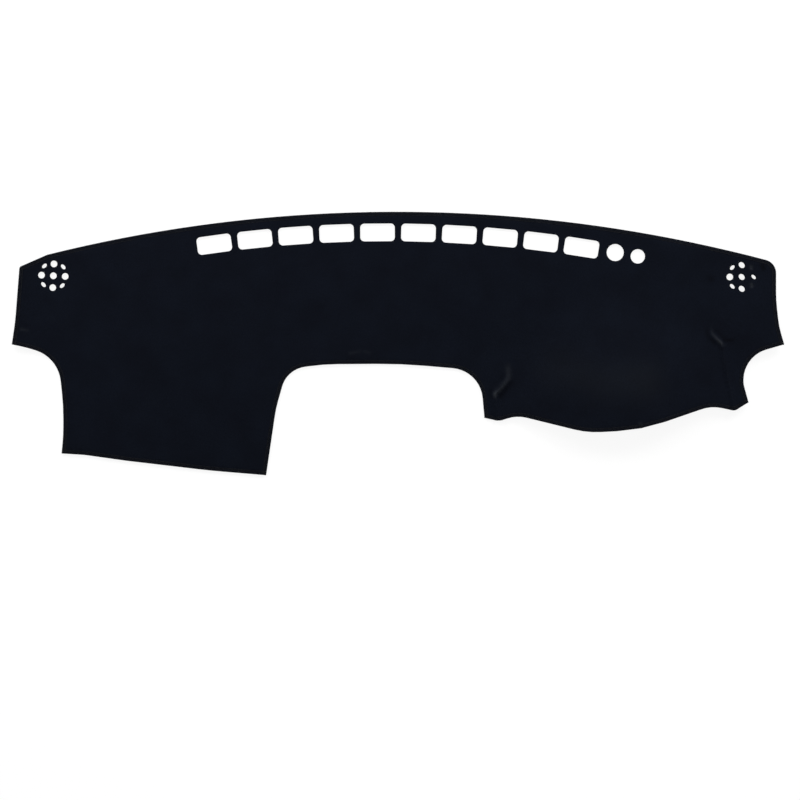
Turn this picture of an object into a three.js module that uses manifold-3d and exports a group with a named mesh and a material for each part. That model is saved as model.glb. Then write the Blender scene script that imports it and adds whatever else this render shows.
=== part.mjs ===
// Dashboard cover mat for a right-hand-drive car: one sheet of black felt, die-cut to the plan of
// the dashboard top and lying face up on a flat surface.
// It is open over the demister vents, two light sensors and two tweeters, and cut away round the
// centre screen and the outer air vents. Two sewn darts raise a low dome over the instruments.
// Units are millimetres: x to the driver's side, y towards the windscreen and z up.
// In the plan, reach is the distance along x from the centre line, inset the distance inwards from
// the reach of the side tips, and setback the distance from the crown of the back edge towards the
// driver. A bend is a gentle rounding, as a share of the shorter of the two edges beside it.
import * as THREE from "three";
import { mergeVertices } from "three/addons/utils/BufferGeometryUtils.js";
import Module from "manifold-3d";

// Sheet
const sheetThickness = 4;

// Back edge, an arc along the foot of the windscreen
const backEdgeRadius = 2650;
const backCrownReach = -3;
const backFacetLength = 35;
const leftShoulderInset = 65;
const leftCornerInset = 14;
const leftCornerDrop = 22.5;
const leftCornerRadius = 6;
const rightCornerInset = 15;
const rightCornerRadius = 25;

// Sides, which flare out to a tip on each side
const sideTipReach = 710;
const sideTipSetback = 244;
const leftFlareInset = 6.3;
const leftFlareSetback = 201;
const leftFlareBend = 0.3;
const rightFlareTopSetback = 162;
const rightFlareTopBend = 0.3;
const rightFlareInset = 9.6;
const rightFlareSetback = 212;
const rightFlareBend = 0.45;

// Cut-out round the passenger's outer air vent, and the flap that hangs beside it
const passengerVentInset = 30;
const passengerVentSetback = 250.3;
const passengerVentBend = 0.45;
const flapTopInset = 85;
const flapTopSetback = 268.7;
const flapTopRadius = 66;
const flapWaistInset = 94.5;
const flapWaistTopSetback = 356;
const flapWaistLowSetback = 410;
const flapWaistBend = 0.45;
const flapOuterInset = 91.4;
const flapOuterSetback = 444.5;
const flapHemInset = 134;
const flapHemSetback = 447.2;
const flapHemBend = 0.16;
const flapHemMiddleInset = 210;
const flapHemMiddleSetback = 458;
const flapHemMiddleBend = 0.3;
const flapHemBowReach = 345;
const flapHemBowSetback = 476;
const flapHemBowBend = 0.22;
const flapInnerReach = 242.5;
const flapInnerSetback = 484.5;

// Cut-out round the centre screen
const screenLeftReach = 204.2;
const screenLeftSetback = 290;
const screenLeftRadius = 50;
const screenLeftFlareReach = 224.5;
const screenLeftFlareSetback = 362;
const screenLeftFlareBend = 0.2;
const screenSetback = 279.5;
const screenSlopeReach = 138;
const screenSlopeSetback = 280.4;
const screenSlopeBend = 0.4;
const screenRightReach = 151;
const screenRightSetback = 292;
const screenRightRadius = 60;
const screenTopReach = 5;
const screenTopBend = 0.31;
const screenMouthReach = 159;
const screenMouthSetback = 379;

// Front edge over the instruments: two small lips with the hood's bow between them, whose two
// bends are a share of its width from either valley
const leftLipReach = 186;
const leftLipSetback = 385;
const leftLipRadius = 28;
const leftValleyReach = 219;
const leftValleySetback = 374.5;
const leftValleyRadius = 64;
const rightValleyInset = 134;
const rightValleySetback = 357;
const rightValleyRadius = 70;
const hoodBendShare = 0.361;
const hoodLeftSetback = 406.4;
const hoodLeftBend = 0.25;
const hoodRightSetback = 401.2;
const hoodRightBend = 0.45;
const rightLipInset = 91;
const rightLipSetback = 366;
const rightLipRadius = 13;
const rightLipTipInset = 65.5;
const rightLipTipSetback = 350.5;

// Cut-out round the driver's outer air vent
const driverVentInset = 73;
const driverVentSetback = 265;
const driverVentRadius = 58;
const driverVentFlareInset = 75;
const driverVentFlareSetback = 316;
const driverVentFlareRadius = 45;

// Demister vents, a row of rounded slots along an arc of its own
const ventCount = 10;
const ventLength = 63.5;
const ventWidth = 32.5;
const ventCornerRadius = 7.5;
const ventPitch = 75.3;
const ventRowRadius = 2320;
const ventRowSetback = 38;
const ventRowTilt = -0.52;

// Light sensor holes, beside the last vent
const sunSensorReach = 399.5;
const sunSensorSetback = 75;
const sunSensorDiameter = 31.5;
const lampSensorReach = 441;
const lampSensorSetback = 82;
const lampSensorDiameter = 26.5;

// Tweeter grilles, one in each back corner: round holes in a cross, with an oval in each quarter
const leftTweeterInset = 76.2;
const leftTweeterEdgeGap = 41.5;
const rightTweeterInset = 78;
const rightTweeterEdgeGap = 42.7;
const tweeterHoleDiameter = 12.2;
const tweeterHoleRing = 21.8;
const tweeterOvalLength = 10.5;
const tweeterOvalWidth = 6.4;
const tweeterOvalRing = 24.4;
const leftTweeterTurn = -3;

// The right grille is pinched along one diagonal, more so towards its outer side, where its holes
// also shrink and the two that would come out too narrow are closed
const pinchTurn = 45;
const pinchedWidth = 0.79;
const pinchSlope = 0.01;
const shrinkSlope = 0.009;
const narrowestHole = 4;

// Dome over the instruments, between the darts
const domeRise = 32;
const domeSetback = 253;
const domeTurn = 9.5;
const domeArch = 1.5;
const domeShoulder = 5;
const domeSpread = 0.5;
const domeBackDepth = 120;
const domeFrontDepth = 70;

// Darts, sewn from the lips of the front edge up to the shoulders of the dome
const dartRidgeHeight = 5;
const dartRidgeWidth = 10;
const dartRidgeArch = 1.5;
const dartFade = 35;
const leftDartBendReach = 179;
const leftDartBendSetback = 338;
const leftDartTipReach = 206;
const leftDartTipSetback = 285;
const rightDartBendInset = 116;
const rightDartBendSetback = 243;
const rightDartTipInset = 134;
const rightDartTipSetback = 213;

// Ends that lift off the surface
const rightLift = 12;
const rightLiftInset = 120;
const leftLift = 7;
const leftLiftInset = 70;

// Fineness of the curves
const arcStep = THREE.MathUtils.degToRad(8);
const holeCurveSegments = 10;
const domeGridStep = 22;
const endGridStep = 14;
const dartGridStep = 7;
const blockMargin = 1;
const mergeDistance = 1e-4;

// Reaches that follow from the side tips
const rightCornerReach = sideTipReach - rightCornerInset;
const driverVentReach = sideTipReach - driverVentInset;
const rightValleyReach = sideTipReach - rightValleyInset;
const rightLipReach = sideTipReach - rightLipInset;
const rightDartBendReach = sideTipReach - rightDartBendInset;
const rightDartTipReach = sideTipReach - rightDartTipInset;

const point = (reach, setback) => new THREE.Vector2(reach, -setback);
const corner = (reach, setback, radius = 0) => ({ at: point(reach, setback), radius });
const bend = (reach, setback, share) => ({ at: point(reach, setback), share });
const setbackOfBackEdge = (reach) =>
  backEdgeRadius - Math.sqrt(backEdgeRadius ** 2 - (reach - backCrownReach) ** 2);

// The corners of the back edge from one reach to another, close enough together to show as an arc
function backEdge(from, to) {
  const steps = Math.round((to - from) / backFacetLength);
  return Array.from({ length: steps + 1 }, (_, i) => {
    const reach = THREE.MathUtils.lerp(from, to, i / steps);
    return corner(reach, setbackOfBackEdge(reach));
  });
}

// Every corner of the outline with its rounding, clockwise from the left shoulder
function outlineCorners() {
  const leftShoulderReach = sideTipReach - leftShoulderInset;
  const leftCornerSetback = setbackOfBackEdge(-leftShoulderReach) + leftCornerDrop;
  const bowWidth = rightValleyReach - leftValleyReach;
  const hoodInset = hoodBendShare * bowWidth;
  return [
    ...backEdge(-leftShoulderReach, rightCornerReach - rightCornerRadius * 2),
    corner(rightCornerReach, setbackOfBackEdge(rightCornerReach), rightCornerRadius),
    bend(rightCornerReach, rightFlareTopSetback, rightFlareTopBend),
    bend(sideTipReach - rightFlareInset, rightFlareSetback, rightFlareBend),
    corner(sideTipReach, sideTipSetback),
    corner(driverVentReach, driverVentSetback, driverVentRadius),
    corner(sideTipReach - driverVentFlareInset, driverVentFlareSetback, driverVentFlareRadius),
    corner(sideTipReach - rightLipTipInset, rightLipTipSetback),
    corner(rightLipReach, rightLipSetback, rightLipRadius),
    corner(rightValleyReach, rightValleySetback, rightValleyRadius),
    bend(rightValleyReach - hoodInset, hoodRightSetback, hoodRightBend),
    bend(leftValleyReach + hoodInset, hoodLeftSetback, hoodLeftBend),
    corner(leftValleyReach, leftValleySetback, leftValleyRadius),
    corner(leftLipReach, leftLipSetback, leftLipRadius),
    corner(screenMouthReach, screenMouthSetback),
    corner(screenRightReach, screenRightSetback, screenRightRadius),
    bend(screenTopReach, screenSetback, screenTopBend),
    bend(-screenSlopeReach, screenSlopeSetback, screenSlopeBend),
    corner(-screenLeftReach, screenLeftSetback, screenLeftRadius),
    bend(-screenLeftFlareReach, screenLeftFlareSetback, screenLeftFlareBend),
    corner(-flapInnerReach, flapInnerSetback),
    bend(-flapHemBowReach, flapHemBowSetback, flapHemBowBend),
    bend(flapHemMiddleInset - sideTipReach, flapHemMiddleSetback, flapHemMiddleBend),
    bend(flapHemInset - sideTipReach, flapHemSetback, flapHemBend),
    corner(flapOuterInset - sideTipReach, flapOuterSetback),
    bend(flapWaistInset - sideTipReach, flapWaistLowSetback, flapWaistBend),
    bend(flapWaistInset - sideTipReach, flapWaistTopSetback, flapWaistBend),
    corner(flapTopInset - sideTipReach, flapTopSetback, flapTopRadius),
    bend(passengerVentInset - sideTipReach, passengerVentSetback, passengerVentBend),
    corner(-sideTipReach, sideTipSetback),
    bend(leftFlareInset - sideTipReach, leftFlareSetback, leftFlareBend),
    corner(leftCornerInset - sideTipReach, leftCornerSetback, leftCornerRadius),
  ];
}

// The points of a closed outline whose corners are rounded, each to its own radius or share
function roundedOutline(corners) {
  return corners.flatMap(({ at, radius, share }, i) => {
    if (radius === 0) return [at];
    const back = corners.at(i - 1).at.clone().sub(at);
    const on = corners[(i + 1) % corners.length].at.clone().sub(at);
    const shorter = Math.min(back.length(), on.length());
    back.normalize();
    on.normalize();
    const halfAngle = Math.acos(back.dot(on)) / 2;
    const tangent = share ? share * shorter : radius / Math.tan(halfAngle);
    const turn = Math.sign(on.cross(back)) * (Math.PI - 2 * halfAngle);
    const centre = back.clone().add(on).setLength(tangent / Math.cos(halfAngle)).add(at);
    const start = back.clone().multiplyScalar(tangent).add(at).sub(centre);
    const steps = Math.max(2, Math.ceil(Math.abs(turn) / arcStep));
    const origin = new THREE.Vector2();
    return Array.from({ length: steps + 1 }, (_, n) =>
      start.clone().rotateAround(origin, (turn * n) / steps).add(centre));
  });
}

// A hole as a closed path: an ellipse, or a circle when its two diameters are the same
function ovalHole(centre, length, width, turn = 0) {
  const path = new THREE.Path();
  path.absellipse(centre.x, centre.y, length / 2, width / 2, 0, 2 * Math.PI, false, turn);
  return path;
}

// One demister vent, a rounded slot turned to lie along the row
function ventHole(centre, turn) {
  const corners = [[-1, -1], [1, -1], [1, 1], [-1, 1]].map(([across, up]) => {
    const at = new THREE.Vector2((across * ventLength) / 2, (up * ventWidth) / 2);
    return { at: at.rotateAround(new THREE.Vector2(), turn).add(centre), radius: ventCornerRadius };
  });
  return new THREE.Path(roundedOutline(corners));
}

// The row of vents, spaced evenly along its arc and tilted as a whole about its middle
function ventHoles() {
  const middle = point(0, ventRowSetback);
  const arcCentre = point(0, ventRowSetback + ventRowRadius);
  const tilt = THREE.MathUtils.degToRad(ventRowTilt);
  return Array.from({ length: ventCount }, (_, i) => {
    const turn = tilt - ((i - (ventCount - 1) / 2) * ventPitch) / ventRowRadius;
    const hub = arcCentre.clone().rotateAround(middle, tilt);
    const centre = new THREE.Vector2(0, ventRowRadius).rotateAround(new THREE.Vector2(), turn);
    return ventHole(centre.add(hub), turn);
  });
}

// One tweeter grille: a hole in the middle, four round it, and an oval between each two of those
function tweeterHoles(turnDegrees) {
  const turn = THREE.MathUtils.degToRad(turnDegrees);
  const round = { length: tweeterHoleDiameter, width: tweeterHoleDiameter, turn: 0 };
  const onRing = (radius, angle) => new THREE.Vector2(radius, 0).rotateAround(new THREE.Vector2(), angle);
  const holes = [{ ...round, at: new THREE.Vector2() }];
  for (let quarter = 0; quarter < 4; quarter += 1) {
    const angle = turn + (quarter * Math.PI) / 2;
    const between = angle + Math.PI / 4;
    const oval = { length: tweeterOvalWidth, width: tweeterOvalLength, turn: between };
    holes.push({ ...round, at: onRing(tweeterHoleRing, angle) });
    holes.push({ ...oval, at: onRing(tweeterOvalRing, between) });
  }
  return holes;
}

// The place in the plan at a reach and a gap from the back edge there
const besideBackEdge = (reach, gap) => point(reach, setbackOfBackEdge(reach) + gap);

function leftTweeter() {
  const centre = besideBackEdge(leftTweeterInset - sideTipReach, leftTweeterEdgeGap);
  return tweeterHoles(leftTweeterTurn).map(({ at, length, width, turn }) =>
    ovalHole(at.clone().add(centre), length, width, turn));
}

// The right grille, each of whose holes is squeezed about its own centre
function rightTweeter() {
  const centre = besideBackEdge(sideTipReach - rightTweeterInset, rightTweeterEdgeGap);
  const across = new THREE.Vector2(1, 0);
  across.rotateAround(new THREE.Vector2(), THREE.MathUtils.degToRad(pinchTurn));
  const shareAt = (at) => Math.min(1, pinchedWidth - pinchSlope * at.x);
  const sizeAt = (at) => 1 - shrinkSlope * Math.max(0, at.x);
  return tweeterHoles(0)
    .filter(({ at, length }) => length * shareAt(at) > narrowestHole)
    .map(({ at, length, width, turn }) => {
      const points = ovalHole(at, length, width, turn).getPoints(holeCurveSegments).slice(1);
      return new THREE.Path(points.map((p) => {
        const offset = p.sub(at).multiplyScalar(sizeAt(at));
        offset.addScaledVector(across, (shareAt(at) - 1) * offset.dot(across));
        return offset.add(at).add(centre);
      }));
    });
}

// The flat cut of the sheet, with every hole in it
function sheetShape() {
  const shape = new THREE.Shape(roundedOutline(outlineCorners()));
  shape.holes = [
    ...ventHoles(),
    ovalHole(point(sunSensorReach, sunSensorSetback), sunSensorDiameter, sunSensorDiameter),
    ovalHole(point(lampSensorReach, lampSensorSetback), lampSensorDiameter, lampSensorDiameter),
    ...leftTweeter(),
    ...rightTweeter(),
  ];
  return shape;
}

// Height of the dome over the instruments: an arch between the darts that fades out to the back
function domeHeight(at) {
  const domeReach = (leftDartTipReach + rightDartTipReach) / 2;
  const shoulderWidth = (rightDartTipReach - leftDartTipReach) / 2 + domeShoulder;
  const local = at.clone().sub(point(domeReach, domeSetback));
  local.rotateAround(new THREE.Vector2(), -THREE.MathUtils.degToRad(domeTurn));
  const halfWidth = shoulderWidth - domeSpread * Math.min(local.y, domeBackDepth);
  const across = Math.min(1, Math.abs(local.x) / halfWidth);
  const along = THREE.MathUtils.smoothstep(-local.y, -domeBackDepth, domeFrontDepth);
  return domeRise * Math.cos((across * Math.PI) / 2) ** domeArch * along;
}

// Distance in the plan from a point to the stretch between two others
function distanceToStretch(at, from, to) {
  const run = to.clone().sub(from);
  const share = THREE.MathUtils.clamp(at.clone().sub(from).dot(run) / run.lengthSq(), 0, 1);
  return from.clone().lerp(to, share).distanceTo(at);
}

// Height of one dart's ridge, which runs in from its mouth, bends once and fades out to its tip
function dartHeight(at, mouth, bend, tip) {
  const aside = Math.min(distanceToStretch(at, mouth, bend), distanceToStretch(at, bend, tip));
  const crest = Math.max(0, 1 - aside / dartRidgeWidth);
  const fade = THREE.MathUtils.smoothstep(at.distanceTo(tip), 0, dartFade);
  return dartRidgeHeight * crest ** dartRidgeArch * fade;
}

// Height of the underside of the sheet above the surface that it lies on
function liftAt(at) {
  const leftDart = dartHeight(
    at,
    point(leftLipReach, leftLipSetback),
    point(leftDartBendReach, leftDartBendSetback),
    point(leftDartTipReach, leftDartTipSetback),
  );
  const rightDart = dartHeight(
    at,
    point(rightLipReach, rightLipSetback),
    point(rightDartBendReach, rightDartBendSetback),
    point(rightDartTipReach, rightDartTipSetback),
  );
  const inset = sideTipReach - Math.abs(at.x);
  const right = at.x > 0 ? rightLift * (1 - THREE.MathUtils.smoothstep(inset, 0, rightLiftInset)) : 0;
  const left = at.x < 0 ? leftLift * (1 - THREE.MathUtils.smoothstep(inset, 0, leftLiftInset)) : 0;
  return domeHeight(at) + Math.max(leftDart, rightDart) + right + left;
}

// Grid lines that run up from a first one, evenly over each stretch and no more than its step apart
function gridLines(first, stretches) {
  return stretches.reduce((lines, [end, step]) => {
    const start = lines.at(-1);
    const count = Math.max(1, Math.ceil((end - start) / step));
    const added = Array.from({ length: count }, (_, i) => start + ((end - start) * (i + 1)) / count);
    return [...lines, ...added];
  }, [first]);
}

// A block as thick as the sheet, larger than its outline and formed to its height everywhere
function formedBlock(box) {
  const xs = gridLines(box.min.x - blockMargin, [
    [leftLiftInset - sideTipReach, endGridStep],
    [screenMouthReach, Infinity],
    [leftDartTipReach + dartRidgeWidth, dartGridStep],
    [rightDartTipReach - dartRidgeWidth, domeGridStep],
    [driverVentReach, dartGridStep],
    [box.max.x + blockMargin, endGridStep],
  ]);
  const ys = gridLines(box.min.y - blockMargin, [
    [-hoodLeftSetback, Infinity],
    [-leftLipSetback - dartRidgeWidth, domeGridStep],
    [-rightDartTipSetback, dartGridStep],
    [domeBackDepth - domeSetback, domeGridStep],
    [box.max.y + blockMargin, Infinity],
  ]);
  const block = new THREE.BoxGeometry(1, 1, 1, xs.length - 1, ys.length - 1, 1);
  const position = block.getAttribute("position");
  for (let i = 0; i < position.count; i += 1) {
    const x = xs[Math.round((position.getX(i) + 0.5) * (xs.length - 1))];
    const y = ys[Math.round((position.getY(i) + 0.5) * (ys.length - 1))];
    const top = position.getZ(i) > 0 ? sheetThickness : 0;
    position.setXYZ(i, x, y, top + liftAt(new THREE.Vector2(x, y)));
  }
  return block;
}

const wasm = await Module();
wasm.setup();

// A closed three.js geometry as a solid that can be cut
function solid(geometry) {
  geometry.deleteAttribute("normal");
  geometry.deleteAttribute("uv");
  const merged = mergeVertices(geometry, mergeDistance);
  const vertProperties = merged.getAttribute("position").array;
  return new wasm.Manifold(
    new wasm.Mesh({ numProp: 3, vertProperties, triVerts: new Uint32Array(merged.index.array) }),
  );
}

// A solid back as a three.js geometry
function geometryOf(manifold) {
  const mesh = manifold.getMesh();
  const geometry = new THREE.BufferGeometry();
  geometry.setAttribute("position", new THREE.BufferAttribute(mesh.vertProperties, 3));
  geometry.setIndex(new THREE.BufferAttribute(mesh.triVerts, 1));
  geometry.computeVertexNormals();
  return geometry;
}

// The sheet: the formed block, cut down to the outline with its holes
function sheetGeometry() {
  const height = domeRise + rightLift + leftLift + dartRidgeHeight + sheetThickness;
  const cutter = new THREE.ExtrudeGeometry(sheetShape(), {
    depth: 2 * height,
    bevelEnabled: false,
    curveSegments: holeCurveSegments,
  });
  cutter.translate(0, 0, -height / 2);
  cutter.computeBoundingBox();
  return geometryOf(solid(formedBlock(cutter.boundingBox)).intersect(solid(cutter)));
}

const felt = new THREE.MeshStandardMaterial({ color: "#11141a", roughness: 0.95, metalness: 0 });
const sheet = new THREE.Mesh(sheetGeometry(), felt);
sheet.name = "felt_mat";

// The origin is under the middle of the mat, on the surface that it lies on
const size = new THREE.Box3().setFromObject(sheet);
const middle = size.getCenter(new THREE.Vector3());
sheet.position.set(-middle.x, -middle.y, -size.min.z);

const mat = new THREE.Group();
mat.add(sheet);

export default mat;
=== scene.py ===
"""A black felt dashboard cover mat, laid face up, with an overlocked edge and two sewn darts."""

import math

import bmesh
import bpy
import numpy as np
from bpy.props import FloatProperty, FloatVectorProperty, PointerProperty
from bpy.types import Operator, Panel, PropertyGroup
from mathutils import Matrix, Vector, geometry, kdtree, noise


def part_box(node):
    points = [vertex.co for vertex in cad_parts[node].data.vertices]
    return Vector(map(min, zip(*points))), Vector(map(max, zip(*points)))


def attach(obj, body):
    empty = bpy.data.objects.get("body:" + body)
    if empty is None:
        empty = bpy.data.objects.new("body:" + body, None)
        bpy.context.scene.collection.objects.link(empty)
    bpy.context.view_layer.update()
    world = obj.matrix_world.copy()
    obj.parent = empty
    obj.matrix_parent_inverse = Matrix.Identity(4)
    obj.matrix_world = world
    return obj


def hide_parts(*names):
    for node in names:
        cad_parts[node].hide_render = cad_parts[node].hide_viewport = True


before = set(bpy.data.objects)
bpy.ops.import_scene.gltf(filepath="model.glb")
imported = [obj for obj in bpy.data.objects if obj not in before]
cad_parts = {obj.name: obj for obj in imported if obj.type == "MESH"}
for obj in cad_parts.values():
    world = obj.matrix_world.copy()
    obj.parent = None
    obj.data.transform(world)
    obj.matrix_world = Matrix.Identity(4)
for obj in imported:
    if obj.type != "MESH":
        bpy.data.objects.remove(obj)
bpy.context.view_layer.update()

bl_info = {
    "name": "Dashboard Cover Mat",
    "version": (1, 0, 0),
    "blender": (4, 5, 0),
    "location": "3D View > Sidebar > Dashboard Mat",
    "description": "Makes a darted felt dashboard mat with its stitching",
    "category": "Object",
}

MM = 0.001
CAD_NODE = "felt_mat"
BODY = "root"
NODE_LOW, NODE_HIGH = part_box(CAD_NODE)
BACK_EDGE = NODE_HIGH.y / MM

# The form of the sheet in the plan, in millimetres: reach is the distance along x from the centre
# line, and setback the distance from the crown of the back edge towards the driver
DOME_CENTRE = (391, 253)
DOME_TURN = math.radians(9.5)
DOME_HALF_WIDTH = 190
DOME_SPREAD = 0.5
DOME_BACK = 120
DOME_FRONT = 70
DOME_ARCH = 1.5
LEFT_DART = ((186, 385), (178.5, 336), (196.5, 317), (203.3, 306), (204, 285))
RIGHT_DART = ((619, 366), (594.5, 242), (586, 233.5), (577, 224), (576, 213))
DART_BEND = 1
DART_FADE = 35
SIDE_TIP = 710
RIGHT_LIFT_FROM = 590
LEFT_LIFT_FROM = 640
# The least height of the felt's underside above the surface: room for the threads below its edge
CLEARANCE = 0.45
CLOSED_HOLES = ((649.3, 102.6), (649.3, 137.2))

# Painted highlights on the pile: along the crests of the darts, on the top of the hood, in small
# marks near the edges and over the closed holes. Painted shade: in the creases beside the darts
# and in place of two dents beside the driver's tweeter grille. Each has its path, its reach on
# each side, and its strength at the first and the last point
PAINTED_HIGHLIGHT_STROKES = (
    (((576.5, 215), (577.5, 224), (586, 234), (594.5, 241.5)), 3.2, 0.1, 1.0),
    (((202.5, 288), (203, 307), (196.5, 317), (190, 327), (178.5, 335)), 5.2, 0.35, 0.65),
    (((178.5, 333), (178.3, 340)), 3.0, 0.5, 0.5),
    (((589, 251), (600, 246)), 2.5, 0.15, 0.15),
    (((290, 288), (370, 315), (450, 312)), 38, 0.1, 0.22),
    (((444, 389), (447, 391)), 2.5, 0.5, 0.5),
    (((-693, 216), (-681, 218)), 2.4, 0.45, 0.3),
    (((-88, 260), (-70, 257)), 2.6, 0.3, 0.2),
    (((-62, 257), (-52, 259)), 2.6, 0.2, 0.2),
    (((649, 101), (649.6, 104)), 3.0, 0.75, 0.75),
    (((649.8, 134), (650.4, 137)), 2.8, 1.0, 1.0),
)
# Painted shade: the strokes that darken the pile
PAINTED_SHADE_STROKES = (
    (((568, 218), (570, 229), (581, 241)), 4.0, 0.45, 0.7),
    (((586, 219), (592, 225), (602, 236), (618, 236)), 3.6, 0.5, 0.5),
    (((600, 236), (612, 236)), 3.0, 0.4, 0.4),
    (((591, 250), (598, 254)), 3.0, 0.4, 0.4),
    (((209, 315), (200, 325), (188, 339)), 4.2, 0.4, 0.75),
    (((193, 300), (190, 306)), 3.5, 0.3, 0.3),
    (((170.5, 329), (170, 338)), 3.5, 0.6, 0.6),
    (((574, 122), (577, 125)), 6, 0.6, 0.6),
    (((670, 99), (672, 104)), 5, 0.8, 0.8),
)

# The finer form of the ridges, of the closed holes and of the felt's face, in millimetres
RIDGE_ARCH = 1.5
GROOVE_DEPTH, GROOVE_REACH = 0.8, 1.2
GROOVE_FROM, GROOVE_FULL = 4, 22
PUCKER_HEIGHT, PUCKER_PITCH = 0.3, 9.0
PUCKER_ASIDE, PUCKER_REACH = 4.5, 2.6
DIMPLE_DEPTH, DIMPLE_REACH = 1.1, 2.6
# Layers of noise: the height of each (of the waves, its share of their height), its size and seed
TUFTS, THICK_PLACES = (0.16, 6.5, 1.3), (0.12, 15, 9.2)
LONG_WAVES, SHORT_WAVES = (0.55, 95, 3.1), (0.12, 24, 7.7)
PRESSED_DEPTH, PRESSED_FROM, PRESSED_TO = 0.45, -1, 3

# How finely the sheet is divided, in millimetres, and the angles in degrees around its rims
RIM_STEP = 3.0
RIM_ANGLES = (0, 30, 60, 90)
UNDER_RIM_ANGLES = (90, 45, 0)
STRAIGHT_ANGLE = 0.4
BEND_EASE, BEND_POINTS = 5, 8
SEAM_STEP, STROKE_STEP = 2.4, 1.0
LATTICE_MARGIN = 0.6
DART_ROWS = (0, 0.8, 1.7, 2.9, 4.4, 6.2, 8.4)
DART_CLEARANCE, DART_RIM_MARGIN = 10, 1.6
MARK_HALF, MARK_STEP, MARK_CLEARANCE = 7, 1.4, 9

# The felt's pattern: sizes in millimetres, how long the fibres are drawn, and the part of the
# pattern that runs from the dark pile to the light one
CLOUD_SIZE, TUFT_WIDTH, FIBRE_WIDTH = 60, 2.5, 0.5
FIBRE_STRETCH = (1, 0.35, 1)
DARK_PILE_AT, LIGHT_PILE_AT = 0.15, 0.38

# The thread's loop over the edge: shares of its width, of its radius and of its height
LEG_NEAR, LEG_MIDDLE = 0.15, 0.6
LEG_OUT, LEG_TURN = 0.9, 0.45

# The stage: the floor's half side in millimetres, how much of it glows for the camera, and the
# lamps with their place and size in metres and the setting that gives their power
FLOOR_HALF = 30000
FLOOR_GLOW_SHARE, FLOOR_GLOW, PAPER_WHITE = 0.82, 1.08, 0.97
LAMPS = (("key_lamp_left", (-1.35, 1.6, 0.95), 1.2, "key"),
         ("key_lamp_right", (1.45, 1.6, 0.95), 1.2, "key"),
         ("fill_lamp_front", (0.3, -2.6, 2.6), 2.2, "fill"))


def hex_colour(text):
    """The linear colour of an sRGB hex value."""
    parts = [int(text[i:i + 2], 16) / 255 for i in (1, 3, 5)]
    return [c / 12.92 if c <= 0.04045 else ((c + 0.055) / 1.055) ** 2.4 for c in parts]


def length(name, millimetres, description):
    return FloatProperty(name=name, description=description, default=millimetres * MM,
                         min=0.0, unit="LENGTH", precision=5)


def colour(name, value, description):
    return FloatVectorProperty(name=name, description=description, default=hex_colour(value),
                               subtype="COLOR", size=3, min=0.0, max=1.0)


class FeltSettings(PropertyGroup):
    """Sizes and colours of the felt sheet."""
    thickness: length("Thickness", 4.0, "Height of the felt's face above the surface below it")
    rim: length("Rim radius", 1.3, "Rounding of the cut edge towards the face")
    under_rim: length("Under rim radius", 0.6, "Rounding of the cut edge towards the underside")
    spacing: length("Face spacing", 3.2, "Distance between the mesh points of the face")
    under_spacing: length("Underside spacing", 8.0, "The same distance on the underside")
    dome_rise: length("Dome rise", 32.0, "Height of the dome over the instruments")
    dart_height: length("Dart height", 5.0, "Height of the ridge that each dart raises")
    dart_width: length("Dart width", 10.0, "Reach of that ridge on each side of its seam")
    right_lift: length("Right end lift", 12.0, "How far the driver's end lifts off the surface")
    left_lift: length("Left end lift", 7.0, "How far the passenger's end lifts off the surface")
    wave: length("Waves", 1.2, "Height of the slow waves of a sheet that was rolled up")
    pile: colour("Pile", "#0a0d15", "Colour of the felt's dyed fibres")
    pile_light: colour("Light pile", "#0d111a", "Colour of the fibres that lie towards the light")
    # Painted highlight: the colour the pile turns to where the painted tone stands in for light
    painted_highlight: colour("Painted highlight", "#23262b", "Colour of the pile where it is lighter")
    # Painted shade: the colour the pile turns to where the painted tone stands in for shade
    painted_shade: colour("Painted shade", "#05060b", "Colour of the pile where it is darker")


class StitchSettings(PropertyGroup):
    """Sizes and colour of the sewing thread."""
    pitch: length("Edge pitch", 2.4, "Distance between two stitches of the overlocked edge")
    width: length("Edge width", 6.6, "Reach of the overlocked edge onto the felt")
    thread: length("Thread", 0.45, "Diameter of the thread")
    seam_pitch: length("Seam pitch", 3.2, "Distance between two stitches of a dart's seam")
    seam_stitch: length("Seam stitch", 2.4, "Length of one stitch of a dart's seam")
    sunk: length("Seam depth", 0.25, "How deep a dart's stitches sink into the felt")
    tone: colour("Thread colour", "#131417", "Colour of the polyester thread")


class StageSettings(PropertyGroup):
    """Camera, floor and lamps."""
    view_width: length("View width", 1471.5, "Width of the floor that the picture shows")
    centre_x: FloatProperty(name="Centre X", description="Middle of the picture along the mat",
                            default=0.0037, unit="LENGTH", precision=4)
    centre_y: FloatProperty(name="Centre Y", description="Middle of the picture across the mat",
                            default=-0.1039, unit="LENGTH", precision=4)
    lens: FloatProperty(name="Lens", description="Focal length of the camera in millimetres",
                        default=500.0, min=1.0)
    key: FloatProperty(name="Key lamp", description="Power of each key lamp", default=42.0,
                       min=0.0, unit="POWER")
    fill: FloatProperty(name="Fill lamp", description="Power of the fill lamp", default=20.0,
                        min=0.0, unit="POWER")
    world: FloatProperty(name="World", description="Light from the pale room", default=0.25,
                         min=0.0)


def settings():
    return bpy.context.scene


# Plan and heights


def plan(reach, setback):
    return np.array([reach, BACK_EDGE - setback])


def smoothstep(x, low, high):
    t = np.clip((x - low) / (high - low), 0, 1)
    return t * t * (3 - 2 * t)


def bell(gap, reach):
    """1 at no distance, falling away over a reach."""
    return np.exp(-(gap / reach) ** 2)


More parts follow.
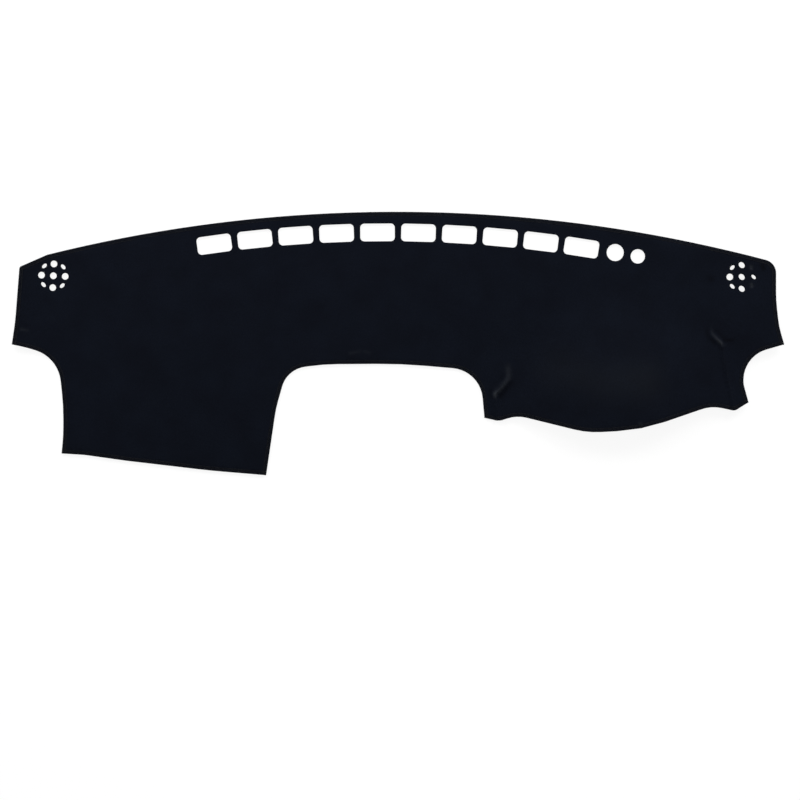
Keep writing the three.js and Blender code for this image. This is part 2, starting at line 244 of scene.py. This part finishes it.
def dart_path(dart):
    """A dart's seam from its mouth to its tip as closely spaced points, its bends rounded."""
    corners = [plan(*p) for p in dart]
    path = [corners[0]]
    t = np.linspace(0, 1, BEND_POINTS)[:, None]
    for before, bend, after in zip(corners[:-2], corners[1:-1], corners[2:]):
        arrival, departure = np.linalg.norm(before - bend), np.linalg.norm(after - bend)
        ease = min(BEND_EASE, arrival / 2, departure / 2)
        start = bend + (before - bend) / arrival * ease
        end = bend + (after - bend) / departure * ease
        path += [*((1 - t) ** 2 * start + 2 * t * (1 - t) * bend + t ** 2 * end)]
    return resampled(np.array([*path, corners[-1]]), SEAM_STEP)


def resampled(path, step):
    """Points about a step apart along an open path."""
    run = np.concatenate([[0], np.cumsum(np.linalg.norm(np.diff(path, axis=0), axis=1))])
    at = np.linspace(0, run[-1], max(2, int(round(run[-1] / step)) + 1))
    return np.column_stack([np.interp(at, run, path[:, i]) for i in (0, 1)])


def along_path(points, path):
    """Distance of each point from a path, and how far along the path its nearest place is."""
    nearest = np.full(len(points), np.inf)
    run = np.zeros(len(points))
    start = 0.0
    for a, b in zip(path[:-1], path[1:]):
        step = b - a
        size = np.linalg.norm(step)
        share = np.clip((points - a) @ step / size ** 2, 0, 1)
        gap = np.linalg.norm(points - a - share[:, None] * step, axis=1)
        closer = gap < nearest
        nearest[closer] = gap[closer]
        run[closer] = (start + share * size)[closer]
        start += size
    return nearest, run


def dome(points, rise):
    local = points - plan(*DOME_CENTRE)
    cos, sin = math.cos(DOME_TURN), math.sin(DOME_TURN)
    x = local[:, 0] * cos + local[:, 1] * sin
    y = local[:, 1] * cos - local[:, 0] * sin
    half = DOME_HALF_WIDTH - DOME_SPREAD * np.minimum(y, DOME_BACK)
    across = np.minimum(1, np.abs(x) / half)
    arch = np.maximum(0, np.cos(across * math.pi / 2)) ** DOME_ARCH
    return rise * arch * smoothstep(-y, -DOME_BACK, DOME_FRONT)


def ridge(points, dart, high, wide):
    """One dart: a ridge that is highest at its bend, with a sewn groove along its lower part and
    small puckers beside it."""
    aside, run = along_path(points, dart_path(dart))
    tip = np.linalg.norm(points - plan(*dart[-1]), axis=1)
    bend = np.linalg.norm(points - plan(*dart[DART_BEND]), axis=1)
    fade = smoothstep(tip, 0, DART_FADE)
    crest = np.maximum(0, 1 - aside / wide) ** RIDGE_ARCH
    groove = GROOVE_DEPTH * bell(aside, GROOVE_REACH) * smoothstep(bend, GROOVE_FROM, GROOVE_FULL)
    ripple = np.sin(2 * math.pi * run / PUCKER_PITCH)
    pucker = PUCKER_HEIGHT * ripple * bell(aside - PUCKER_ASIDE, PUCKER_REACH)
    return (high * crest - groove + pucker) * fade


def rub(points):
    """Painted highlight (up to 1) and painted shade (down to -1) on the pile, in place of the
    lamps' light and shade.
    """
    tone = np.zeros(len(points))
    for strokes, strength in ((PAINTED_HIGHLIGHT_STROKES, 1), (PAINTED_SHADE_STROKES, -1)):
        for path, wide, first, last in strokes:
            line = resampled(np.array([plan(*p) for p in path]), STROKE_STEP)
            aside, run = along_path(points, line)
            share = run / run.max()
            level = first + (last - first) * share
            tone += strength * level * bell(aside, wide)
    return np.clip(tone, -1, 1)


def lift(points):
    """Height of the sheet's underside above the surface, for points in millimetres."""
    felt = settings().mat_felt
    high, wide = felt.dart_height / MM, felt.dart_width / MM
    left = ridge(points, LEFT_DART, high, wide)
    right = ridge(points, RIGHT_DART, high, wide)
    x = points[:, 0]
    ends = felt.right_lift / MM * smoothstep(x, RIGHT_LIFT_FROM, SIDE_TIP)
    ends += felt.left_lift / MM * smoothstep(-x, LEFT_LIFT_FROM, SIDE_TIP)
    return CLEARANCE + np.maximum(0, dome(points, felt.dome_rise / MM) + left + right + ends)


def bumps(points, layer):
    """Smooth noise up to a height both ways, its features about a size in millimetres across."""
    height, size, seed = layer
    return height * np.array([noise.noise((x / size, y / size, seed)) for x, y in points])


def waves(points):
    """Slow waves across the whole sheet, from nothing up to their full height."""
    high = settings().mat_felt.wave / MM
    return high * np.clip(0.5 + bumps(points, LONG_WAVES) + bumps(points, SHORT_WAVES), 0, 1)


def relief(points):
    """The uneven face of needled felt: tufts a few millimetres wide, and thicker places."""
    return bumps(points, TUFTS) + bumps(points, THICK_PLACES)


def gaps_to(rim, points):
    """The distance from each point to the nearest point of a rim."""
    tree = kdtree.KDTree(len(rim))
    for i, (x, y) in enumerate(rim):
        tree.insert((x, y, 0), i)
    tree.balance()
    return np.array([tree.find((x, y, 0))[2] for x, y in points])


def pressed(points, outline):
    """How far the overlocked thread presses the face down along the outer edge."""
    inner = settings().mat_stitch.width / MM
    free = smoothstep(gaps_to(outline, points), inner + PRESSED_FROM, inner + PRESSED_TO)
    return PRESSED_DEPTH * (1 - free)


def dimples(points):
    """Shallow marks where two holes of the driver's tweeter grille have closed up."""
    depth = np.zeros(len(points))
    for reach, setback in CLOSED_HOLES:
        gap = np.linalg.norm(points - plan(reach, setback), axis=1)
        depth += DIMPLE_DEPTH * bell(gap, DIMPLE_REACH)
    return depth


# Outline


def rim_loops():
    """The outline and the holes of the CAD sheet, in the plan, with the felt on their left."""
    mesh = bmesh.new()
    mesh.from_mesh(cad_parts[CAD_NODE].data)
    bmesh.ops.remove_doubles(mesh, verts=mesh.verts, dist=1e-6)
    mesh.normal_update()
    following = {}
    for face in mesh.faces:
        if face.normal.z < 0.5:
            continue
        for loop in face.loops:
            other = loop.link_loop_radial_next.face
            if other is not face and other.normal.z < 0.5:
                following[loop.vert] = loop.link_loop_next.vert
    loops = []
    while following:
        first, vert = next(iter(following.items()))
        chain = [first]
        del following[first]
        while vert is not first:
            chain.append(vert)
            vert = following.pop(vert)
        loops.append(np.array([(v.co.x / MM, v.co.y / MM) for v in chain]))
    mesh.free()
    return sorted((without_straight_points(p) for p in loops), key=lambda p: -abs(area(p)))


def area(loop):
    x, y = loop[:, 0], loop[:, 1]
    return 0.5 * np.sum(x * np.roll(y, -1) - np.roll(x, -1) * y)


def without_straight_points(loop):
    """A closed loop without the points at which it hardly turns."""
    before, after = loop - np.roll(loop, 1, axis=0), np.roll(loop, -1, axis=0) - loop
    cross = before[:, 0] * after[:, 1] - before[:, 1] * after[:, 0]
    turn = np.arctan2(cross, np.sum(before * after, axis=1))
    return loop[np.abs(turn) > math.radians(STRAIGHT_ANGLE)]


def divided(loop, step):
    """A closed loop with every edge cut into pieces no longer than a step."""
    points = []
    for a, b in zip(loop, np.roll(loop, -1, axis=0)):
        count = max(1, math.ceil(np.linalg.norm(b - a) / step))
        points += [a + (b - a) * i / count for i in range(count)]
    return np.array(points)


def inset(loop, distance):
    """A closed loop moved a distance towards its left."""
    edge = np.roll(loop, -1, axis=0) - loop
    edge /= np.linalg.norm(edge, axis=1)[:, None]
    left = np.column_stack([-edge[:, 1], edge[:, 0]])
    both = left + np.roll(left, 1, axis=0)
    return loop + distance * both / np.maximum(0.5, 1 + np.sum(left * np.roll(left, 1, axis=0),
                                                               axis=1))[:, None]


def inside(points, loops):
    """Whether each point is on the felt, by counting the edges to its right."""
    odd = np.zeros(len(points), bool)
    x, y = points[:, 0], points[:, 1]
    for loop in loops:
        for (ax, ay), (bx, by) in zip(loop, np.roll(loop, -1, axis=0)):
            if ay != by:
                crosses = (ay > y) != (by > y)
                odd ^= crosses & (x < ax + (y - ay) * (bx - ax) / (by - ay))
    return odd


def lattice(loops, spacing, margin):
    """Points of a triangular lattice on the felt, kept a margin away from every edge."""
    low, high = loops[0].min(0), loops[0].max(0)
    rows = np.arange(low[1], high[1], spacing * math.sqrt(3) / 2)
    points = []
    for i, y in enumerate(rows):
        x = np.arange(low[0] + (i % 2) * spacing / 2, high[0], spacing)
        points.append(np.column_stack([x, np.full(len(x), y)]))
    points = np.vstack(points)
    points = points[inside(points, loops)]
    return points[gaps_to(np.vstack(loops), points) > margin]


def dart_points(loops):
    """Rows of points along each dart's seam, closer together towards the seam."""
    rows = []
    for dart in (LEFT_DART, RIGHT_DART):
        path = dart_path(dart)
        step = np.gradient(path, axis=0)
        step /= np.linalg.norm(step, axis=1)[:, None]
        side = np.column_stack([-step[:, 1], step[:, 0]])
        for offset in DART_ROWS:
            for sign in ((1, -1) if offset else (1,)):
                rows.append(path + side * offset * sign)
    points = np.vstack(rows)
    points = points[inside(points, loops)]
    return points[gaps_to(np.vstack(loops), points) > DART_RIM_MARGIN]


def mark_points(loops):
    """A fine square grid around each closed hole of the driver's tweeter grille."""
    steps = np.arange(-MARK_HALF, MARK_HALF + 1, MARK_STEP)
    points = np.vstack([plan(*at) + (dx, dy)
                        for at in CLOSED_HOLES for dx in steps for dy in steps])
    return points[inside(points, loops)]


def face_points(loops, spacing):
    """The points on the face: an even lattice, and finer points along the darts and the marks."""
    grid = lattice(loops, spacing, spacing * LATTICE_MARGIN)
    for dart in (LEFT_DART, RIGHT_DART):
        grid = grid[along_path(grid, dart_path(dart))[0] > DART_CLEARANCE]
    for at in CLOSED_HOLES:
        grid = grid[np.max(np.abs(grid - plan(*at)), axis=1) > MARK_CLEARANCE]
    return np.vstack([grid, dart_points(loops), mark_points(loops)])


def skin(loops, inner):
    """One face of the sheet: its points, its triangles, and which points its loops have become."""
    edges, start = [], 0
    for loop in loops:
        count = len(loop)
        edges += [(start + i, start + (i + 1) % count) for i in range(count)]
        start += count
    flat = np.vstack([*loops, inner])
    verts, _, faces, origin, _, _ = geometry.delaunay_2d_cdt(
        [Vector(p) for p in flat], edges, [], 0, 1e-5)
    plane = np.array([(v.x, v.y) for v in verts])
    faces = np.array([f for f in faces if len(f) == 3])
    faces = faces[inside(plane[faces].mean(1), loops)]
    home = np.zeros(len(flat), int)
    for i, sources in enumerate(origin):
        home[sources] = i
    return plane, faces, home[:start]


def rim_walls(rings, counts):
    """The quads between rings of points, for rings made of closed loops of so many points each."""
    starts = np.cumsum([0, *counts[:-1]])
    following = np.concatenate([np.roll(np.arange(n), -1) + s for n, s in zip(counts, starts)])
    return [(a[i], b[i], b[j], a[j]) for a, b in zip(rings[:-1], rings[1:])
            for i, j in enumerate(following)]


# Meshes and nodes


def new_object(name, points, faces, material):
    """A smooth-shaded object from points in millimetres, at the origin."""
    mesh = bpy.data.meshes.new(name)
    mesh.from_pydata((np.asarray(points) * MM).tolist(), [], faces)
    mesh.materials.append(material)
    mesh.shade_smooth()
    mesh.update()
    thing = bpy.data.objects.new(name, mesh)
    bpy.context.scene.collection.objects.link(thing)
    return thing


def add_node(tree, kind, settings=(), **links):
    """Adds a node, sets its settings and values, and links sockets into it."""
    made = tree.nodes.new(kind)
    for name, value in dict(settings).items():
        setattr(made, name, value)
    for name, value in links.items():
        key = name.replace("_", " ")
        socket = next((s for s in made.inputs if s.name == key and s.enabled), None)
        if socket is None:
            raise KeyError(f"{kind} has no input {key}")
        if isinstance(value, bpy.types.NodeSocket):
            tree.links.new(value, socket)
        else:
            socket.default_value = value
    return made


def new_material(name):
    """An empty node material with its output, and the tree that it is built in."""
    material = bpy.data.materials.new(name)
    material.use_nodes = True
    material.node_tree.nodes.clear()
    return material, material.node_tree


def millimetre_noise(tree, size, detail=2.0, stretch=(1, 1, 1)):
    """Noise in object space whose features are about a size in millimetres across."""
    place = add_node(tree, "ShaderNodeTexCoord").outputs["Object"]
    spread = add_node(tree, "ShaderNodeMapping", Vector=place, Scale=stretch)
    return add_node(tree, "ShaderNodeTexNoise", Vector=spread.outputs["Vector"],
                    Scale=1 / (size * MM), Detail=detail).outputs["Fac"]


def tinted(tree, painted_tone, full_at, under, over):
    """A colour that turns into another one as a value runs from nothing to its full size."""
    share = add_node(tree, "ShaderNodeMapRange", Value=painted_tone)
    share.inputs["From Max"].default_value = full_at
    mix = add_node(tree, "ShaderNodeMix", {"data_type": "RGBA"})
    tree.links.new(share.outputs[0], mix.inputs[0])
    tree.links.new(under, mix.inputs[6])
    mix.inputs[7].default_value = (*over, 1)
    return mix.outputs[2]


def felt_material():
    """Needle-punched polyester felt: dull, with a short matted pile that the eye sees as a fine
    grain, slow clouds where the pile lies over, and a faint sheen at low angles."""
    felt = settings().mat_felt
    material, tree = new_material("needle_punched_polyester_felt")
    clouds = millimetre_noise(tree, CLOUD_SIZE, 3.0)
    # Tufts of a real pile are about 1 mm; they are drawn 2.5 mm wide so that they show
    tufts = millimetre_noise(tree, TUFT_WIDTH, 4.0)
    fibres = millimetre_noise(tree, FIBRE_WIDTH, 2.0, FIBRE_STRETCH)
    blend = add_node(tree, "ShaderNodeMath", {"operation": "MULTIPLY"})
    tree.links.new(clouds, blend.inputs[0])
    tree.links.new(tufts, blend.inputs[1])
    ramp = add_node(tree, "ShaderNodeMapRange", Value=blend.outputs[0])
    ramp.inputs["From Min"].default_value = DARK_PILE_AT
    ramp.inputs["From Max"].default_value = LIGHT_PILE_AT
    tone = add_node(tree, "ShaderNodeMix", {"data_type": "RGBA"})
    tree.links.new(ramp.outputs[0], tone.inputs[0])
    tone.inputs[6].default_value = (*felt.pile, 1)
    tone.inputs[7].default_value = (*felt.pile_light, 1)
    # Painted highlights and painted shade come from the mesh's own attribute, not from the lamps
    painted_tone = add_node(tree, "ShaderNodeAttribute", {"attribute_name": "rub"}).outputs["Fac"]
    with_painted_highlight = tinted(tree, painted_tone, 1.0, tone.outputs[2], felt.painted_highlight)
    shaded = tinted(tree, painted_tone, -1.0, with_painted_highlight, felt.painted_shade)
    low = add_node(tree, "ShaderNodeBump", Height=tufts, Strength=0.5, Distance=0.6 * MM)
    high = add_node(tree, "ShaderNodeBump", Height=fibres, Strength=0.5, Distance=0.25 * MM,
                    Normal=low.outputs[0])
    shader = add_node(tree, "ShaderNodeBsdfPrincipled", Base_Color=shaded,
                      Roughness=0.95, IOR=1.5, Specular_IOR_Level=0.04, Sheen_Weight=0.025,
                      Sheen_Roughness=0.4, Normal=high.outputs[0])
    add_node(tree, "ShaderNodeOutputMaterial", Surface=shader.outputs[0])
    return material


def thread_material():
    """Twisted polyester thread: smoother than the felt, so it catches a little more light."""
    stitch = settings().mat_stitch
    material, tree = new_material("twisted_polyester_thread")
    twist = millimetre_noise(tree, 0.4, 1.0)
    bump = add_node(tree, "ShaderNodeBump", Height=twist, Strength=0.3, Distance=0.1 * MM)
    shader = add_node(tree, "ShaderNodeBsdfPrincipled", Base_Color=(*stitch.tone, 1),
                      Roughness=0.7, IOR=1.54, Specular_IOR_Level=0.1, Sheen_Weight=0.02,
                      Normal=bump.outputs[0])
    add_node(tree, "ShaderNodeOutputMaterial", Surface=shader.outputs[0])
    return material


def stamped(name, points, tree, values, edges=()):
    """The plain mesh that a node tree makes from points in millimetres."""
    mesh = bpy.data.meshes.new(name)
    mesh.from_pydata((np.asarray(points) * MM).tolist(), [tuple(e) for e in edges], [])
    seed = bpy.data.objects.new(name + "_path", mesh)
    bpy.context.scene.collection.objects.link(seed)
    modifier = seed.modifiers.new(name, "NODES")
    modifier.node_group = tree
    sockets = {s.name: s.identifier for s in tree.interface.items_tree if s.in_out == "INPUT"}
    for key, value in values.items():
        modifier[sockets[key]] = value
    bpy.context.view_layer.update()
    depsgraph = bpy.context.evaluated_depsgraph_get()
    made = bpy.data.meshes.new_from_object(seed.evaluated_get(depsgraph), depsgraph=depsgraph)
    made.name = name
    made.shade_smooth()
    thing = bpy.data.objects.new(name, made)
    bpy.context.scene.collection.objects.link(thing)
    bpy.data.objects.remove(seed)
    return thing


def new_tree(name, sizes):
    """A geometry node tree with a geometry socket each way, and named lengths."""
    tree = bpy.data.node_groups.new(name, "GeometryNodeTree")
    tree.interface.new_socket("Geometry", in_out="INPUT", socket_type="NodeSocketGeometry")
    for size, default in sizes.items():
        socket = tree.interface.new_socket(size, in_out="INPUT", socket_type="NodeSocketFloat")
        socket.default_value = default * MM
    tree.interface.new_socket("Material", in_out="INPUT", socket_type="NodeSocketMaterial")
    tree.interface.new_socket("Geometry", in_out="OUTPUT", socket_type="NodeSocketGeometry")
    return tree, tree.nodes.new("NodeGroupInput")


def finish_tree(tree, start, instances):
    """Ends a tree in real geometry with its material."""
    real = add_node(tree, "GeometryNodeRealizeInstances", Geometry=instances)
    painted = add_node(tree, "GeometryNodeSetMaterial", Geometry=real.outputs[0],
                       Material=start.outputs["Material"])
    add_node(tree, "NodeGroupOutput", Geometry=painted.outputs[0])
    return tree


def thread_tree(name, with_leg):
    """Stitches along a path: each lies along it, and one for an edge also has a leg that wraps
    over the edge. The local axes are x along the path, y onto the felt and z up."""
    tree, start = new_tree(name, {"Pitch": 2.4, "Width": 5.2, "Thread": 0.45, "Half": 1.9,
                                  "Stitch": 2.4})
    sizes = start.outputs

    def maths(operation, a, b=0.0):
        node = add_node(tree, "ShaderNodeMath", {"operation": operation})
        for socket, value in zip(node.inputs, (a, b)):
            if isinstance(value, bpy.types.NodeSocket):
                tree.links.new(value, socket)
            else:
                socket.default_value = value
        return node.outputs[0]

    def vector(x, y, z):
        return add_node(tree, "ShaderNodeCombineXYZ", X=x, Y=y, Z=z).outputs[0]

    radius = maths("MULTIPLY", sizes["Thread"], 0.5)
    half_stitch = maths("MULTIPLY", sizes["Stitch"], 0.5)
    over = maths("ADD", sizes["Half"], maths("MULTIPLY", radius, 0.5))
    inner = sizes["Width"]
    places = [[(maths("MULTIPLY", half_stitch, s), inner, z)
               for s, z in ((-1, maths("SUBTRACT", over, radius)), (0, over),
                            (1, maths("SUBTRACT", over, radius)))]]
    if with_leg:
        lean = maths("MULTIPLY", sizes["Pitch"], 0.5)
        out = maths("MULTIPLY", radius, -LEG_OUT)
        under = maths("MULTIPLY", over, -1.0)
        near, middle = (maths("MULTIPLY", inner, share) for share in (LEG_NEAR, LEG_MIDDLE))
        back = maths("MULTIPLY", lean, -1.0)
        places.append([(lean, inner, maths("SUBTRACT", over, radius)), (0.0, middle, over),
                       (back, near, over), (back, out, maths("MULTIPLY", over, LEG_TURN)),
                       (back, out, maths("MULTIPLY", under, LEG_TURN)), (back, near, under),
                       (0.0, middle, under)])
    strands = add_node(tree, "GeometryNodeJoinGeometry")
    for strand in places:
        line = add_node(tree, "GeometryNodeCurvePrimitiveLine")
        points = add_node(tree, "GeometryNodeResampleCurve", {"mode": "COUNT"},
                          Curve=line.outputs[0], Count=len(strand)).outputs[0]
        index = add_node(tree, "GeometryNodeInputIndex").outputs[0]
        for i, place in enumerate(strand):
            chosen = add_node(tree, "FunctionNodeCompare",
                              {"data_type": "INT", "operation": "EQUAL"})
            tree.links.new(index, chosen.inputs[2])
            chosen.inputs[3].default_value = i
            points = add_node(tree, "GeometryNodeSetPosition", Geometry=points,
                              Selection=chosen.outputs[0], Position=vector(*place)).outputs[0]
        circle = add_node(tree, "GeometryNodeCurvePrimitiveCircle", Resolution=4, Radius=radius)
        tube = add_node(tree, "GeometryNodeCurveToMesh", Curve=points,
                        Profile_Curve=circle.outputs[0], Fill_Caps=True)
        tree.links.new(tube.outputs[0], strands.inputs[0])
    path = add_node(tree, "GeometryNodeMeshToCurve", Mesh=sizes["Geometry"])
    spaced = add_node(tree, "GeometryNodeResampleCurve", {"mode": "LENGTH"},
                      Curve=path.outputs[0], Length=sizes["Pitch"])
    tangent = add_node(tree, "GeometryNodeInputTangent").outputs[0]
    level = add_node(tree, "FunctionNodeAlignRotationToVector", {"axis": "X"}, Vector=tangent)
    upright = add_node(tree, "FunctionNodeAlignRotationToVector",
                       {"axis": "Z", "pivot_axis": "X"}, Rotation=level.outputs[0],
                       Vector=(0, 0, 1))
    stamps = add_node(tree, "GeometryNodeInstanceOnPoints", Points=spaced.outputs[0],
                      Instance=strands.outputs[0], Rotation=upright.outputs[0])
    return finish_tree(tree, start, stamps.outputs[0])


def seen_by_camera(tree, ray):
    """1 for the rays that the camera sees, straight or mirrored, and 0 for the others."""
    level = ray["Is Camera Ray"]
    for kind in ("Is Glossy Ray", "Is Transmission Ray"):
        step = add_node(tree, "ShaderNodeMath", {"operation": "MAXIMUM"})
        tree.links.new(level, step.inputs[0])
        tree.links.new(ray[kind], step.inputs[1])
        level = step.outputs[0]
    return level


class MAT_OT_felt(Operator):
    """Makes the felt sheet with its rounded rim"""
    bl_idname = "mat.felt"
    bl_label = "Felt sheet"

    def execute(self, context):
        felt = settings().mat_felt
        loops = [divided(loop, RIM_STEP) for loop in rim_loops()]
        top = felt.thickness / MM
        rings = [(a, felt.rim / MM, 1) for a in np.radians(RIM_ANGLES)]
        rings += [(a, felt.under_rim / MM, -1) for a in np.radians(UNDER_RIM_ANGLES)]
        flats = [[inset(loop, r * (1 - math.sin(a))).astype(np.float32).astype(float)
                  for loop in loops] for a, r, _ in rings]
        rim = flats[0]
        wide = felt.under_spacing / MM
        upper_plane, upper_faces, upper_rim = skin(rim, face_points(rim, felt.spacing / MM))
        lower_plane, lower_faces, lower_rim = skin(flats[-1], np.vstack([
            lattice(flats[-1], wide, wide * LATTICE_MARGIN), dart_points(flats[-1])]))

        def heights(where, face_up):
            swell = lift(where) + waves(where)
            if face_up:
                return swell + top + relief(where) - dimples(where) - pressed(where, loops[0])
            return swell

        upper = np.column_stack([upper_plane, heights(upper_plane, True)])
        lower = np.column_stack([lower_plane, heights(lower_plane, False)])
        points = [upper, lower]
        ids = [upper_rim]
        base = len(upper) + len(lower)
        count = len(upper_rim)
        for (angle, radius, way), ring in list(zip(rings, flats))[1:-1]:
            ring = np.vstack(ring)
            drop = radius * (1 - math.cos(angle))
            points.append(np.column_stack([ring, heights(ring, way > 0) - way * drop]))
            ids.append(base + np.arange(count))
            base += count
        ids.append(len(upper) + lower_rim)
        walls = rim_walls(ids, [len(loop) for loop in rim])
        under = lower_faces[:, ::-1] + len(upper)
        all_faces = [tuple(map(int, f)) for f in [*upper_faces, *under, *walls]]
        places = np.vstack(points)
        sheet = new_object("felt_sheet", places, all_faces, felt_material())
        # The painted highlight and painted shade, stored as a point attribute
        painted_tone = sheet.data.attributes.new("rub", "FLOAT", "POINT")
        painted_tone.data.foreach_set("value", rub(places[:, :2]).astype(np.float32))
        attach(sheet, BODY)
        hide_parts(CAD_NODE)
        return {"FINISHED"}


class MAT_OT_edge_stitches(Operator):
    """Overlocks the outer edge of the mat"""
    bl_idname = "mat.edge_stitches"
    bl_label = "Edge stitches"

    def execute(self, context):
        felt, stitch = settings().mat_felt, settings().mat_stitch
        loop = divided(rim_loops()[0], RIM_STEP)
        middle = felt.thickness / 2 / MM
        points = np.column_stack([loop, lift(loop) + waves(loop) + middle])
        edges = [(i, (i + 1) % len(loop)) for i in range(len(loop))]
        half = felt.thickness / 2
        seam = stamped("overlocked_edge", points, thread_tree("overlock", True), {
            "Pitch": stitch.pitch, "Width": stitch.width, "Thread": stitch.thread, "Half": half,
            "Stitch": stitch.pitch, "Material": thread_material()}, edges)
        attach(seam, BODY)
        return {"FINISHED"}


class MAT_OT_dart_stitches(Operator):
    """Sews the two darts"""
    bl_idname = "mat.dart_stitches"
    bl_label = "Dart stitches"

    def execute(self, context):
        felt, stitch = settings().mat_felt, settings().mat_stitch
        points, edges = [], []
        for dart in (LEFT_DART, RIGHT_DART):
            path = dart_path(dart)[2:-3]
            start = len(points)
            points += [*path]
            edges += [(start + i, start + i + 1) for i in range(len(path) - 1)]
        flat = np.array(points)
        high = lift(flat) + waves(flat) + felt.thickness / MM
        seam = stamped("dart_seams", np.column_stack([flat, high]),
                       thread_tree("dart_stitch", False), {
                           "Pitch": stitch.seam_pitch, "Width": 0.0, "Thread": stitch.thread,
                           "Half": -stitch.sunk, "Stitch": stitch.seam_stitch,
                           "Material": bpy.data.materials["twisted_polyester_thread"]}, edges)
        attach(seam, BODY)
        return {"FINISHED"}


class MAT_OT_stage(Operator):
    """Sets up the camera, the pale floor and the soft lamps"""
    bl_idname = "mat.stage"
    bl_label = "Stage"

    def execute(self, context):
        scene, stage = context.scene, settings().mat_stage
        scene.view_settings.view_transform = "Standard"
        material, tree = new_material("white_paper_floor")
        ray = add_node(tree, "ShaderNodeLightPath").outputs
        share = add_node(tree, "ShaderNodeMath", {"operation": "MULTIPLY"})
        tree.links.new(seen_by_camera(tree, ray), share.inputs[0])
        share.inputs[1].default_value = FLOOR_GLOW_SHARE
        paper = add_node(tree, "ShaderNodeBsdfDiffuse", Color=(*[PAPER_WHITE] * 3, 1))
        glow = add_node(tree, "ShaderNodeEmission", Color=(1, 1, 1, 1), Strength=FLOOR_GLOW)
        mix = add_node(tree, "ShaderNodeMixShader")
        for socket, value in zip(mix.inputs, (share.outputs[0], paper.outputs[0],
                                              glow.outputs[0])):
            tree.links.new(value, socket)
        add_node(tree, "ShaderNodeOutputMaterial", Surface=mix.outputs[0])
        corners = [(x * FLOOR_HALF, y * FLOOR_HALF, 0)
                   for x, y in ((-1, -1), (1, -1), (1, 1), (-1, 1))]
        floor = new_object("floor", corners, [(0, 1, 2, 3)], material)

        world = bpy.data.worlds.new("pale_room")
        world.use_nodes = True
        scene.world = world
        tree = world.node_tree
        tree.nodes.clear()
        ray = add_node(tree, "ShaderNodeLightPath").outputs
        level = add_node(tree, "ShaderNodeMapRange", Value=seen_by_camera(tree, ray))
        level.inputs["To Min"].default_value = stage.world
        level.inputs["To Max"].default_value = 1.0
        sky = add_node(tree, "ShaderNodeBackground", Color=(1, 1, 1, 1),
                       Strength=level.outputs[0])
        add_node(tree, "ShaderNodeOutputWorld", Surface=sky.outputs[0])

        for name, place, size, power in LAMPS:
            lamp = bpy.data.lights.new(name, "AREA")
            lamp.energy, lamp.size = getattr(stage, power), size
            thing = bpy.data.objects.new(name, lamp)
            thing.location = place
            thing.rotation_euler = (-Vector(place)).to_track_quat("-Z", "Y").to_euler()
            thing.visible_camera = False
            scene.collection.objects.link(thing)

        camera = bpy.data.cameras.new("camera")
        camera.lens = stage.lens
        camera.clip_end = 100
        eye = bpy.data.objects.new("camera", camera)
        eye.location = (stage.centre_x, stage.centre_y,
                        stage.view_width * stage.lens / camera.sensor_width)
        scene.collection.objects.link(eye)
        scene.camera = eye
        return {"FINISHED"}


class MAT_PT_panel(Panel):
    """Lists the mat's pieces and their sizes"""
    bl_label = "Dashboard Mat"
    bl_idname = "MAT_PT_panel"
    bl_space_type = "VIEW_3D"
    bl_region_type = "UI"
    bl_category = "Dashboard Mat"

    def draw(self, context):
        for operator, group in STEPS:
            box = self.layout.box()
            box.operator(operator)
            values = getattr(context.scene, group)
            for name in values.__annotations__:
                box.prop(values, name)


STEPS = (("mat.stage", "mat_stage"), ("mat.felt", "mat_felt"),
         ("mat.edge_stitches", "mat_stitch"), ("mat.dart_stitches", "mat_stitch"))
GROUPS = {"mat_felt": FeltSettings, "mat_stitch": StitchSettings, "mat_stage": StageSettings}
CLASSES = (*GROUPS.values(), MAT_OT_felt, MAT_OT_edge_stitches, MAT_OT_dart_stitches,
           MAT_OT_stage, MAT_PT_panel)


def register():
    for cls in CLASSES:
        bpy.utils.register_class(cls)
    for name, group in GROUPS.items():
        setattr(bpy.types.Scene, name, PointerProperty(type=group))


def unregister():
    for name in GROUPS:
        delattr(bpy.types.Scene, name)
    for cls in reversed(CLASSES):
        bpy.utils.unregister_class(cls)


def main():
    register()
    bpy.ops.mat.stage()
    bpy.ops.mat.felt()
    bpy.ops.mat.edge_stitches()
    bpy.ops.mat.dart_stitches()


if __name__ == "__main__":
    main()
